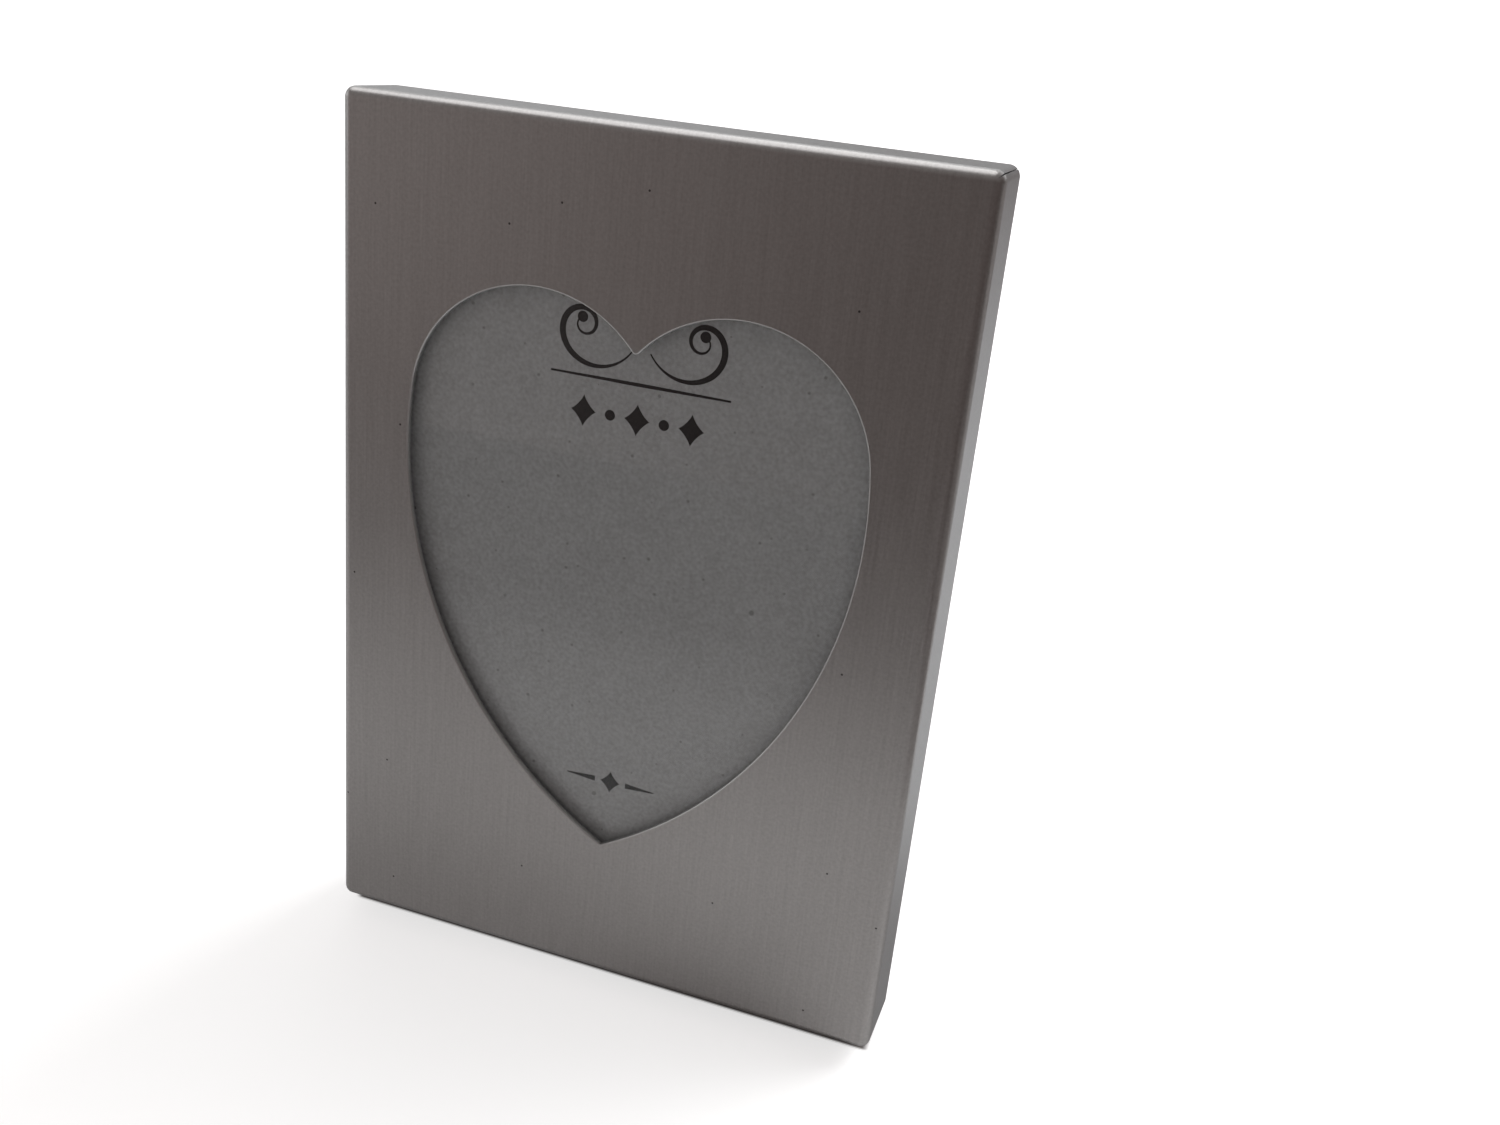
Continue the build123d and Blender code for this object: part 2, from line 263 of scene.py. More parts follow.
class InsertSettings(PropertyGroup):
    """Paper insert and the ornament printed on it."""

    paper: colour("Paper", "Colour of the paper", (0.62, 0.645, 0.655))
    ink: colour("Ink", "Colour of the print", (0.004, 0.004, 0.0045))
    depth: length("Depth", "Depth of the paper's front behind the face", 1.6 * MM)
    ink_height: length("Ink height", "How far the print stands on the paper", 0.015 * MM)
    rule_level: offset("Rule level", "Height of the rule above the middle of the face", 20.6 * MM)
    rule_length: length("Rule length", "Length of the swelled rule", 18.2 * MM)
    rule_width: length("Rule width", "Width of the rule at its middle", 0.36 * MM)
    scroll_length: length("Scroll length", "Length of each scroll's stroke", 19.0 * MM)
    scroll_width: length("Scroll width", "Width of a scroll's stroke at its widest", 0.62 * MM)
    motif: length("Motif", "Width of the lozenges under the rule", 2.6 * MM)
    motif_pitch: length("Motif pitch", "Distance between neighbouring motifs", 2.75 * MM)
    foot_level: offset("Foot level", "Height of the small ornament near the tip", -21.7 * MM)


class BackSettings(PropertyGroup):
    """Back board, easel leg, hinge, turn buttons and screws."""

    flock: colour("Flock", "Colour of the velvet flock", (0.020, 0.020, 0.022))
    board: colour("Hardboard", "Colour of the pressed hardboard", (0.19, 0.11, 0.062))
    ring: colour("Ring", "Colour of the moulded ring", (0.022, 0.022, 0.024))
    card: colour("Card", "Colour of the filler card", (0.43, 0.41, 0.375))
    tape: colour("Tape", "Colour of the tape", (0.84, 0.82, 0.75))
    plating: colour("Plating", "Colour of the nickel plate", (0.70, 0.675, 0.63))
    eased_edge: length("Eased edge", "Rounding of the edges of the plated parts", 0.05 * MM)
    moulded_edge: length("Moulded edge", "Rounding of the ring's edges", 0.09 * MM)
    plate_back: length("Plate back", "Depth of the fixed hinge plate's rear face", 5.2 * MM)
    hinge_level: offset("Hinge level", "Height of the pin above the middle of the face", 18.0 * MM)
    rivet_head: length("Rivet head", "Radius of the rivets' heads", 1.5 * MM)
    rivet_crown: length("Rivet crown", "Radius of the rivets' flat tops before they are eased", 0.9 * MM)
    rivet_height: length("Rivet height", "Height of the rivets' heads", 0.5 * MM)
    rivet_ease: length("Rivet ease", "Rounding round the rivets' flat tops", 1.0 * MM)
    rivet_lip: length("Rivet lip", "Rounding of the rivets' rims", 0.08 * MM)
    rivet_shank: length("Rivet shank", "Radius of the rivets' shanks", 0.75 * MM)
    plate_rivet_pitch: length("Plate rivet pitch", "Distance between the plate's rivets", 9.0 * MM)
    plate_rivet_rise: length("Plate rivet rise", "Height of the plate's rivets over the pin", 7.5 * MM)
    plate_grip: length("Plate grip", "Length of the plate rivets' shanks", 2.35 * MM)
    leg_rivet_pitch: length("Leg rivet pitch", "Distance between the leg's rivets", 8.0 * MM)
    leg_rivet_drop: length("Leg rivet drop", "Distance of the leg's rivets from the pin", 7.0 * MM)
    leg_back: length("Leg back", "Rear face of the leg's flock, from the pin", 1.3 * MM)
    leg_grip: length("Leg grip", "Length of the leg rivets' shanks", 2.35 * MM)
    button_reach: length("Button reach", "From a button's pivot to the middle of its tip", 7.0 * MM)
    button_eye: length("Button eye", "Radius of a button round its screw", 2.0 * MM)
    button_tip: length("Button tip", "Radius of a button's tip", 1.5 * MM)
    button_hole: length("Button hole", "Radius of the hole for the screw", 0.93 * MM)
    button_thickness: length("Button thickness", "Thickness of a button", 0.8 * MM)
    button_edge: length("Button edge", "Rounding of a button's edges", 0.16 * MM)
    screw_seat: length("Screw seat", "From a button's pivot to under its screw's head", 0.9 * MM)
    screw_head: length("Screw head", "Radius of a screw's head", 1.6 * MM)
    screw_crown: length("Screw crown", "Height of a screw's head", 0.9 * MM)
    screw_flat: length("Screw flat", "Radius of the flat on top of a screw's head", 1.05 * MM)
    screw_shank: length("Screw shank", "Radius of a screw's shank", 0.85 * MM)
    screw_length: length("Screw length", "Length of a screw below its head", 4.2 * MM)
    screw_point: length("Screw point", "Length of a screw's point", 0.8 * MM)
    slot_length: length("Recess length", "Length of the cross recess", 1.8 * MM)
    slot_width: length("Recess width", "Width of the cross recess", 0.42 * MM)
    slot_depth: length("Recess depth", "Depth of the cross recess", 0.6 * MM)


class StageSettings(PropertyGroup):
    """Floor, lights and camera."""

    floor: colour("Floor", "Colour of the floor", (0.80, 0.80, 0.80))
    floor_lift: share("Floor lift", "How far the camera sees the floor lifted out of the shade", 0.66)
    # The colour of the floor's painted shade, for mirrored light and in the strip under the shell
    floor_painted_shade: colour("Floor far off", "Colour of the floor where it is dimmed", (0.20, 0.18, 0.175))
    # Where the painted shade on the mirrored floor begins and is full, in front of the object
    floor_near: length("Floor near", "How far in front the mirrored floor begins to dim", 0.13)
    floor_end: length("Floor end", "How far in front the mirrored floor is fully dim", 0.37)
    floor_size: length("Floor size", "Side of the square floor", 6.0)
    floor_gap: length("Floor gap", "How far the floor lies under the object", 0.05 * MM)
    backdrop: colour("Backdrop", "Colour beyond the floor", (0.86, 0.86, 0.86))
    room: colour("Room", "Dim light of the room", (0.110, 0.087, 0.082))
    left_side: colour("Left side", "Paler light from the left", (0.33, 0.29, 0.28))
    left_window: colour("Left window", "Bright light straight from the left", (1.0, 1.0, 1.0))
    overhead: colour("Overhead", "Paler light of the ceiling", (0.22, 0.20, 0.195))
    far_wall: colour("Far wall", "Pale light from behind the object", (0.91, 0.905, 0.90))
    key_power: power("Key power", "Soft light above and behind", 3.7)
    key_size: length("Key size", "Side of the soft light above and behind", 0.45)
    key_place: spot("Key place", "Where the soft light above and behind stands", (0.33, 0.38, 0.38))
    card_power: power("Card power", "Overhead card that shows only in what mirrors it", 0.95)
    card_size: length("Card size", "Side of the overhead card", 0.48)
    card_place: spot("Card place", "Where the overhead card hangs", (-0.15, 0.16, 0.53))
    camera_right: offset("Camera right", "Camera's place to the right of the face's middle", 47.92 * MM)
    camera_up: offset("Camera up", "Camera's place up the face from its middle", 53.04 * MM)
    camera_out: offset("Camera out", "Camera's distance in front of the face", 118.47 * MM)
    camera_tilt: angle("Camera tilt", "Camera's tilt up from straight down", 52.555)
    camera_turn: angle("Camera turn", "Camera's turn about the vertical", 19.447)
    lens: FloatProperty(
        name="Lens", description="Focal length on a 36 mm sensor", default=33.956, unit="CAMERA"
    )


class Wire:
    """An output socket. Arithmetic on it adds Math nodes to the same tree."""

    def __init__(self, nodes, socket):
        self.nodes = nodes
        self.socket = socket

    def math(self, operation, first, second):
        return self.nodes.node("ShaderNodeMath", {"operation": operation}, {0: first, 1: second})

    def __add__(self, other):
        return self.math("ADD", self, other)

    def __radd__(self, other):
        return self.math("ADD", other, self)

    def __sub__(self, other):
        return self.math("SUBTRACT", self, other)

    def __rsub__(self, other):
        return self.math("SUBTRACT", other, self)

    def __mul__(self, other):
        return self.math("MULTIPLY", self, other)

    def __rmul__(self, other):
        return self.math("MULTIPLY", other, self)

    def __pow__(self, other):
        return self.math("POWER", self, other)

    def __lt__(self, other):
        return self.math("LESS_THAN", self, other)

    def __gt__(self, other):
        return self.math("GREATER_THAN", self, other)


class Nodes:
    """The node tree of a material or a world."""

    def __init__(self, owner):
        owner.use_nodes = True
        self.owner = owner
        self.tree = owner.node_tree
        self.tree.nodes.clear()

    def node(self, kind, settings=None, inputs=None, output=0):
        """Add a node: its settings first, then the values or links of its sockets.

        It gives back one of the node's outputs, or nothing where the node has none.
        """
        made = self.tree.nodes.new(kind)
        for name, value in (settings or {}).items():
            setattr(made, name, value)
        for key, value in (inputs or {}).items():
            if isinstance(value, Wire):
                self.tree.links.new(value.socket, made.inputs[key])
            else:
                made.inputs[key].default_value = value
        return Wire(self, made.outputs[output]) if made.outputs else None

    def blend(self, amount, first, second):
        """Colours mixed by an amount from 0 to 1."""
        return self.node("ShaderNodeMix", {"data_type": "RGBA"}, {0: amount, 6: first, 7: second}, output=2)

    def tone(self, amount, rgb, low, high):
        """A colour that goes from one shade of it to another by an amount from 0 to 1."""
        return self.blend(amount, solid(rgb, low), solid(rgb, high))

    def local(self):
        """Coordinates of the piece itself."""
        return self.node("ShaderNodeTexCoord", output="Object")

    def along_face(self):
        """Coordinates that run right, up the leaning face and out of it."""
        turn = {"Vector": self.local(), "Angle": lean_angle - math.pi / 2}
        return self.node("ShaderNodeVectorRotate", {"rotation_type": "X_AXIS"}, turn)

    def stretched(self, vector, scale):
        """Coordinates scaled along each axis."""
        return self.node("ShaderNodeVectorMath", {"operation": "MULTIPLY"}, {0: vector, 1: scale})

    def noise(self, vector, scale, detail=2.0):
        """Soft noise from 0 to 1."""
        return self.node("ShaderNodeTexNoise", {}, {"Vector": vector, "Scale": scale, "Detail": detail})

    def spots(self, vector, pitch):
        """Distance from the nearest of many scattered points, as a share of their pitch."""
        cells = self.stretched(vector, (1 / pitch, 1 / pitch, 0))
        flat = {"voronoi_dimensions": "2D"}
        return self.node("ShaderNodeTexVoronoi", flat, {"Vector": cells, "Scale": 1.0})

    def split(self, vector):
        """The three numbers of a vector."""
        return [self.node("ShaderNodeSeparateXYZ", {}, {"Vector": vector}, output=axis) for axis in "XYZ"]

    def step(self, value, low, high):
        """A smooth step from 0 to 1 between two values."""
        limits = {"Value": value, "From Min": low, "From Max": high}
        return self.node("ShaderNodeMapRange", {"interpolation_type": "SMOOTHSTEP"}, limits)

    def bump(self, height, strength, distance):
        """A normal that follows a height."""
        return self.node("ShaderNodeBump", {}, {"Height": height, "Strength": strength, "Distance": distance})

    def surface(self, shader, kind="ShaderNodeOutputMaterial"):
        """Send a shader to the output, and give back the material or the world."""
        self.node(kind, {}, {"Surface": shader})
        return self.owner

    def principled(self, inputs):
        """A material of one shader, from the values or links of its sockets."""
        return self.surface(self.node("ShaderNodeBsdfPrincipled", {}, inputs))


def material_nodes(name):
    """An empty node tree in a new material."""
    return Nodes(bpy.data.materials.new(name))


def solid(rgb, shade=1.0):
    """A colour with its alpha, made lighter or darker."""
    return (rgb[0] * shade, rgb[1] * shade, rgb[2] * shade, 1.0)


def satin_aluminium(shell):
    """Satin sheet: fine upright streaks, an etched grain, soft clouding and a few specks."""
    nodes = material_nodes("satin_aluminium")
    local = nodes.along_face()
    streaks = nodes.noise(nodes.stretched(local, (5200, 110, 1600)), 1.0, 3.0)
    grain = nodes.noise(local, 3200.0, 3.0)
    clouds = nodes.noise(local, 55.0)
    mark = nodes.spots(local, 15 * MM) < 0.0075
    even = nodes.tone(0.4 * streaks + 0.6 * grain, shell.metal, 0.70, 1.30)
    rough = shell.roughness - 0.07 + 0.10 * streaks + 0.04 * clouds
    return nodes.principled({
        "Base Color": nodes.blend(mark, even, solid(shell.metal, 0.25)),
        "Metallic": 1.0,
        "Roughness": rough,
        "Specular Tint": solid(shell.edge_tint),
        "Normal": nodes.bump(0.5 * streaks + 0.5 * grain, 0.16, 0.02 * MM),
    })


def cut_aluminium(shell):
    """Bare metal of a pressed edge, with faint marks across the sheet."""
    nodes = material_nodes("cut_aluminium")
    marks = nodes.noise(nodes.stretched(nodes.along_face(), (2600, 2600, 400)), 1.0, 2.0)
    return nodes.principled({
        "Base Color": nodes.tone(marks, shell.cut_metal, 0.92, 1.06),
        "Metallic": 1.0,
        "Roughness": 0.28 + 0.10 * marks,
        "Normal": nodes.bump(marks, 0.05, 0.02 * MM),
    })


def clear_glass(shell):
    """Clear pane that lets light straight through and mirrors a little, more so at an angle."""
    nodes = material_nodes("clear_glass")
    facing = nodes.node("ShaderNodeLayerWeight", {}, {"Blend": 0.5}, output="Facing")
    mirrored = 0.04 + 0.96 * facing ** 5.0
    through = nodes.node("ShaderNodeBsdfTransparent", {}, {"Color": solid(shell.glass)})
    gloss = nodes.node("ShaderNodeBsdfGlossy", {}, {"Color": (1, 1, 1, 1), "Roughness": 0.03})
    return nodes.surface(nodes.node("ShaderNodeMixShader", {}, {0: mirrored, 1: through, 2: gloss}))


def insert_paper(insert):
    """Smooth uncoated paper with fine fibres and the odd dark fleck."""
    nodes = material_nodes("insert_paper")
    local = nodes.along_face()
    fibres = nodes.noise(local, 2600.0, 4.0)
    mottle = nodes.noise(local, 260.0, 3.0)
    flecks = nodes.spots(local, 5.4 * MM) < 0.09 * mottle ** 2.0
    tone = nodes.tone(0.85 * fibres + 0.15 * mottle, insert.paper, 0.58, 1.38)
    return nodes.principled({
        "Base Color": nodes.blend(flecks, tone, solid(insert.paper, 0.62)),
        "Roughness": 0.80 + 0.15 * fibres,
        "Specular IOR Level": 0.3,
        "Normal": nodes.bump(fibres, 0.25, 0.02 * MM),
    })


def printed_ink(insert):
    """Flat black print that is a little thinner in places."""
    nodes = material_nodes("printed_ink")
    cover = nodes.noise(nodes.local(), 3000.0, 3.0)
    return nodes.principled({
        "Base Color": nodes.tone(cover, insert.ink, 1.0, 2.2),
        "Roughness": 0.65 + 0.25 * cover,
        "Specular IOR Level": 0.1,
    })


def nickel_plate(back):
    """Nickel plate with faint rolling marks and clouding."""
    nodes = material_nodes("nickel_plate")
    local = nodes.local()
    marks = nodes.step(nodes.noise(nodes.stretched(local, (300, 5200, 5200)), 1.0, 3.0), 0.3, 0.7)
    clouds = nodes.noise(local, 420.0, 3.0)
    tone = nodes.tone(0.6 * clouds + 0.4 * marks, back.plating, 0.72, 1.14)
    return nodes.principled({
        "Base Color": tone,
        "Metallic": 1.0,
        "Roughness": 0.12 + 0.14 * clouds + 0.10 * marks,
        "Normal": nodes.bump(marks, 0.12, 0.02 * MM),
    })


def black_flock(back):
    """Short velvet pile with a soft sheen, and patches of painted sheen in its colour where the pile lies
    different ways.
    """
    nodes = material_nodes("black_flock")
    local = nodes.local()
    pile = nodes.step(nodes.noise(local, 3200.0, 4.0), 0.3, 0.7)
    # Painted sheen: paler and darker patches in the colour stand in for pile that catches the light differently
    painted_sheen = nodes.step(nodes.noise(nodes.stretched(local, (70, 130, 130)), 1.0, 3.0), 0.34, 0.66)
    lint = nodes.noise(local, 1900.0, 1.0) > 0.81
    # The pile's fine grain, mixed with the painted sheen of the patches
    tone = nodes.tone(0.5 * pile + 0.5 * painted_sheen, back.flock, 0.3, 2.3)
    return nodes.principled({
        "Base Color": nodes.blend(lint, tone, solid(back.flock, 7.0)),
        "Roughness": 0.80 + 0.20 * pile,
        "Specular IOR Level": 0.15,
        "Sheen Weight": 0.25,
        "Sheen Roughness": 0.45,
        "Sheen Tint": (0.55, 0.56, 0.60, 1.0),
        "Normal": nodes.bump(pile, 0.7, 0.12 * MM),
    })


def hardboard(back):
    """Pressed brown fibre board, rough and flecked at its cut edges."""
    nodes = material_nodes("hardboard")
    local = nodes.local()
    fibres = nodes.noise(nodes.stretched(local, (900, 2600, 2600)), 1.0, 4.0)
    blotches = nodes.noise(local, 300.0, 3.0)
    tone = nodes.tone(0.65 * fibres + 0.35 * blotches, back.board, 0.45, 1.6)
    return nodes.principled({
        "Base Color": tone,
        "Roughness": 0.62 + 0.25 * fibres,
        "Normal": nodes.bump(fibres, 0.5, 0.08 * MM),
    })


def moulded_plastic(back):
    """Black moulded plastic with a fine spark-eroded grain."""
    nodes = material_nodes("moulded_plastic")
    local = nodes.local()
    grain = nodes.noise(local, 3000.0, 2.0)
    rubbed = nodes.step(nodes.noise(local, 240.0, 3.0), 0.35, 0.7)
    return nodes.principled({
        "Base Color": nodes.tone(rubbed, back.ring, 0.85, 1.4),
        "Roughness": 0.46 + 0.14 * grain - 0.10 * rubbed,
        "Normal": nodes.bump(grain, 0.55, 0.06 * MM),
    })


def grey_card(back):
    """Plain grey board with long fibres."""
    nodes = material_nodes("grey_card")
    fibres = nodes.noise(nodes.stretched(nodes.local(), (1200, 2600, 1600)), 1.0, 4.0)
    return nodes.principled({
        "Base Color": nodes.tone(fibres, back.card, 0.75, 1.15),
        "Roughness": 0.80 + 0.15 * fibres,
        "Normal": nodes.bump(fibres, 0.4, 0.05 * MM),
    })


def foam_tape(back):
    """Pale double-sided tape with fine cells."""
    nodes = material_nodes("foam_tape")
    cells = nodes.noise(nodes.local(), 3800.0, 2.0)
    return nodes.principled({
        "Base Color": nodes.tone(cells, back.tape, 0.85, 1.1),
        "Roughness": 0.55 + 0.25 * cells,
        "Normal": nodes.bump(cells, 0.4, 0.05 * MM),
    })


def face_frame(shell):
    """Matrix from the face's own axes, which run right, up and out of the window."""
    centre = Vector(flange["pos_m"]) + face_out * (shell.depth / 2) + face_up * (shell.height / 2)
    return axes_at(centre, RIGHT, face_up, face_out)


def axes_at(origin, x_axis, y_axis, z_axis):
    """Matrix that puts a piece at an origin along three axes."""
    turned = Matrix((x_axis, y_axis, z_axis)).transposed().to_4x4()
    return Matrix.Translation(origin) @ turned


def arc(centre, radius, start, end, steps):
    """Points along an arc with both its ends. Angles are in radians, from the first axis."""
    turns = [start + (end - start) * step / steps for step in range(steps + 1)]
    return [centre + radius * Vector((math.cos(turn), math.sin(turn))) for turn in turns]


def circle(radius):
    """Points round a circle."""
    return arc(Vector((0, 0)), radius, 0, 2 * math.pi, ROUND_STEPS)[:-1]


def rounding(centre, radius, start, end, steps=EDGE_STEPS):
    """Points along an arc, as plain pairs."""
    return [tuple(point) for point in arc(Vector(centre), radius, start, end, steps)]


def skin(bm, rows, closed):
    """Quads between neighbouring rows of vertices."""
    made = []
    for upper, lower in zip(rows, rows[1:]):
        pairs = list(zip(upper, lower))
        if closed:
            pairs.append(pairs[0])
        made += [bm.faces.new((a, b, d, c)) for (a, b), (c, d) in zip(pairs, pairs[1:])]
    return made


def fill(bm, *loops):
    """Triangles over the flat region between closed loops of vertices."""
    edges = []
    for loop in loops:
        for a, b in zip(loop, loop[1:] + loop[:1]):
            edges.append(bm.edges.get((a, b)) or bm.edges.new((a, b)))
    bmesh.ops.triangle_fill(bm, edges=edges, use_beauty=True)


def ring(bm, points, height, place=None):
    """Vertices at one height over the points of an outline."""
    made = [Vector((point[0], point[1], height)) for point in points]
    return [bm.verts.new(place @ point if place else point) for point in made]


def add_object(name, data):
    """Put a mesh, a light or a camera in the scene."""
    made = bpy.data.objects.new(name, data)
    bpy.context.scene.collection.objects.link(made)
    return made


def even_shading(made):
    """Shade a piece by its larger faces."""
    shading = made.modifiers.new("even_shading", "WEIGHTED_NORMAL")
    shading.keep_sharp = True


def piece(name, bm, place, materials, body, replaces=()):
    """Make a piece of the object from a bmesh: shaded, finished and riding on a body."""
    bmesh.ops.recalc_face_normals(bm, faces=bm.faces)
    mesh = bpy.data.meshes.new(name)
    bm.to_mesh(mesh)
    bm.free()
    mesh.transform(place)
    mesh.shade_smooth()
    mesh.set_sharp_from_angle(angle=math.radians(CREASE_ANGLE))
    for material in materials:
        mesh.materials.append(material)
    made = add_object(name, mesh)
    even_shading(made)
    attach(made, body)
    if replaces:
        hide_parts(*replaces)


def dress(node, material, edge=0.0):
    """Give a CAD node its finish, and ease its sharp edges."""
    made = frame["nodes"][node]
    made.data.materials.clear()
    made.data.materials.append(material)
    if edge:
        weld = made.modifiers.new("weld", "WELD")
        weld.merge_threshold = WELD_DISTANCE
        flat = made.modifiers.new("join_flats", "DECIMATE")
        flat.decimate_type = "DISSOLVE"
        flat.angle_limit = math.radians(FLAT_ANGLE)
        bevel = made.modifiers.new("eased_edges", "BEVEL")
        bevel.width = edge
        bevel.segments = EASED_SEGMENTS
        bevel.limit_method = "ANGLE"
        bevel.angle_limit = math.radians(EASED_ANGLE)
        bevel.use_clamp_overlap = False
        even_shading(made)


def heart_outline(shell):
    """Points round the window, each with the way into the metal, from the tip up the right side."""
    half = shell.heart_height / 2
    tip = Vector((0, -half))
    lobe = Vector((shell.lobe_spacing / 2, half - shell.lobe_radius))
    way = Vector((math.cos(shell.shoulder), math.sin(shell.shoulder)))
    chord = lobe + shell.lobe_radius * way - tip
    flank_radius = chord.length_squared / (2 * chord.dot(way))
    flank = tip + chord - flank_radius * way
    cusp_reach = shell.lobe_radius + shell.cusp
    cusp = Vector((0, lobe.y + math.sqrt(cusp_reach ** 2 - lobe.x ** 2)))
    tip_turn = math.atan2(tip.y - flank.y, tip.x - flank.x)
    cusp_turn = math.atan2(cusp.y - lobe.y, cusp.x - lobe.x)
    flank_points = arc(flank, flank_radius, tip_turn, shell.shoulder, FLANK_STEPS)[1:-1]
    lobe_points = arc(lobe, shell.lobe_radius, shell.shoulder, cusp_turn, LOBE_STEPS)
    cusp_points = arc(cusp, shell.cusp, cusp_turn - math.pi, -math.pi / 2, CUSP_STEPS)[1:]
    side = [(point, (point - flank).normalized()) for point in flank_points]
    side += [(point, (point - lobe).normalized()) for point in lobe_points]
    side += [(point, (cusp - point).normalized()) for point in cusp_points]
    mirrored = [(Vector((-p.x, p.y)), Vector((-w.x, w.y))) for p, w in reversed(side[:-1])]
    tip_way = Vector((0, flank_radius / (tip.y - flank.y)))
    return [(tip, tip_way)] + side + mirrored


def sheet_section(shell):
    """Section of a folded side as (inset, depth, width of the slit beside it).

    It runs down the outside, round the rim and up the inside. The slit opens from nothing in the bend
    and is narrower again at the rim.
    """
    bend, sheet, rim, rear = shell.bend, shell.sheet, shell.rim, shell.depth
    quarter = math.pi / 2
    outside = rounding((bend, bend), bend, -quarter, -2 * quarter, BEND_STEPS)
    edge = rounding((rim, rear - rim), rim, 2 * quarter, quarter)
    edge += rounding((sheet - rim, rear - rim), rim, quarter, 0)
    inside = rounding((bend, bend), bend - sheet, -2 * quarter, -quarter, BEND_STEPS)
    shares = [(step / BEND_STEPS - SLIT_START) / SLIT_RUN for step in range(BEND_STEPS + 1)]
    opening = [shell.slit * min(1.0, max(0.0, part)) for part in shares]
    slits = opening + [SLIT_AT_RIM * shell.slit] * len(edge) + opening[::-1]
    return [(inset, depth, slit) for (inset, depth), slit in zip(outside + edge + inside, slits)]


def corner_point(shell, corner, side, along, inset, slit):
    """A point round a corner of the sheet, from its slit at 0 to the straight side at 1."""
    side_x, side_y = CORNERS[corner % 4]
    centre = Vector((side_x * (shell.width / 2 - shell.corner), side_y * (shell.height / 2 - shell.corner)))
    radius = shell.corner - inset
    start = math.asin(slit / 2 / radius)
    turn = start + along * (math.pi / 4 - start)
    middle = math.pi / 4 + corner * math.pi / 2
    return arc(centre, radius, middle, middle + side * turn, 1)[1]


def folded_side(bm, shell, corner, shut):
    """One folded side, from the slit at one corner to the slit at the next, as rows of vertices.

    The slits are shut in the first and last few rows.
    """
    shares = [step / CORNER_STEPS for step in range(CORNER_STEPS + 1)]
    rows = []
    for inset, depth, slit in sheet_section(shell):
        near = [corner_point(shell, corner, 1, along, inset, slit) for along in shares]
        far = [corner_point(shell, corner + 1, -1, along, inset, slit) for along in reversed(shares)]
        straight = [near[-1].lerp(far[0], step / SIDE_STEPS) for step in range(1, SIDE_STEPS)]
        rows.append(ring(bm, near + straight + far, -depth))
    skin(bm, rows, closed=False)
    for end in (0, -1):
        section = [row[end] for row in rows[shut - 1:len(rows) - shut + 1]]
        half = len(section) // 2
        skin(bm, [section[:half], section[:half - 1:-1]], closed=False)
    return rows


def shell_mesh(shell):
    """The folded shell: a face with the heart cut in it and four sides with slits between them."""
    bm = bmesh.new()
    shut = len([slit for _, _, slit in sheet_section(shell) if not slit]) // 2
    sides = [folded_side(bm, shell, corner, shut) for corner in range(4)]
    for one, other in zip(sides, sides[1:] + sides[:1]):
        joined = {}
        for row in [*range(shut), *range(-shut, 0)]:
            joined[other[row][0]] = one[row][-1]
            other[row][0] = one[row][-1]
        bmesh.ops.weld_verts(bm, targetmap=joined)
    outline = heart_outline(shell)
    edge = shell.window_edge
    back_edge = shell.rim
    section = rounding((edge, edge), edge, -math.pi / 2, -math.pi)
    section += rounding((back_edge, shell.sheet - back_edge), back_edge, math.pi, math.pi / 2)
    window = [ring(bm, [point + way * inset for point, way in outline], -depth) for inset, depth in section]
    for face in skin(bm, window, closed=True):
        face.material_index = 1
    for row in (0, -1):
        fill(bm, [vertex for side in sides for vertex in side[row][:-1]], window[row])
    return bm


def pane_mesh(shell):
    """The pane, with its edges ground off."""
    bm = bmesh.new()
    edge = shell.pane_edge
    levels = [
        (edge, shell.pane_front),
        (0, shell.pane_front + edge),
        (0, shell.pane_back - edge),
        (edge, shell.pane_back),
    ]
    rows = []
    for inset, depth in levels:
        half_width = shell.pane_width / 2 - inset
        half_height = shell.pane_height / 2 - inset
        rows.append(ring(bm, [(x * half_width, y * half_height) for x, y in CORNERS], -depth))
    skin(bm, rows, closed=True)
    bm.faces.new(rows[0])
    bm.faces.new(rows[-1])
    return bm


def stroke(bm, line, widths, low, high):
    """A flat stroke of changing width along a line, as a thin closed solid."""
    edges = []
    for number, point in enumerate(line):
        before = line[max(number - 1, 0)]
        after = line[min(number + 1, len(line) - 1)]
        along = (after - before).normalized()
        aside = Vector((-along.y, along.x)) * (widths[number] / 2)
        edges.append((point + aside, point - aside))
    rows = [ring(bm, (left, right, right, left), low) for left, right in edges]
    for row in rows:
        for vertex in row[2:]:
            vertex.co.z = high
    skin(bm, rows, closed=True)
    bm.faces.new(rows[0])
    bm.faces.new(rows[-1])


def patch(bm, outline, low, high):
    """A flat printed patch, as a thin closed solid."""
    rows = [ring(bm, outline, low), ring(bm, outline, high)]
    skin(bm, rows, closed=True)
    for row in rows:
        bm.faces.new(row)


def lozenge(centre, width, height, curve=HOLLOW_SIDES):
    """Outline of a lozenge with slightly hollow sides, or of a round dot."""
    points = []
    for step in range(ROUND_STEPS):
        turn = 2 * math.pi * step / ROUND_STEPS
        x = math.copysign(abs(math.cos(turn)) ** (2 / curve), math.cos(turn))
        y = math.copysign(abs(math.sin(turn)) ** (2 / curve), math.sin(turn))
        points.append((centre[0] + x * width / 2, centre[1] + y * height / 2))
    return points


def scroll_line(insert, side):
    """A scroll that leaves the middle, dips, rises and curls in on itself."""
    start, rise = SCROLL_OFFSET
    heading, turn, curl = SCROLL_HEADINGS
    stride = insert.scroll_length / SCROLL_STEPS
    point = Vector((side * start, insert.rule_level + rise))
    line = [point]
    for step in range(SCROLL_STEPS):
        along = (step + 0.5) / SCROLL_STEPS
        way = math.radians(heading + turn * along + curl * along ** 4)
        point = point + Vector((side * math.cos(way), math.sin(way))) * stride
        line.append(point)
    return line


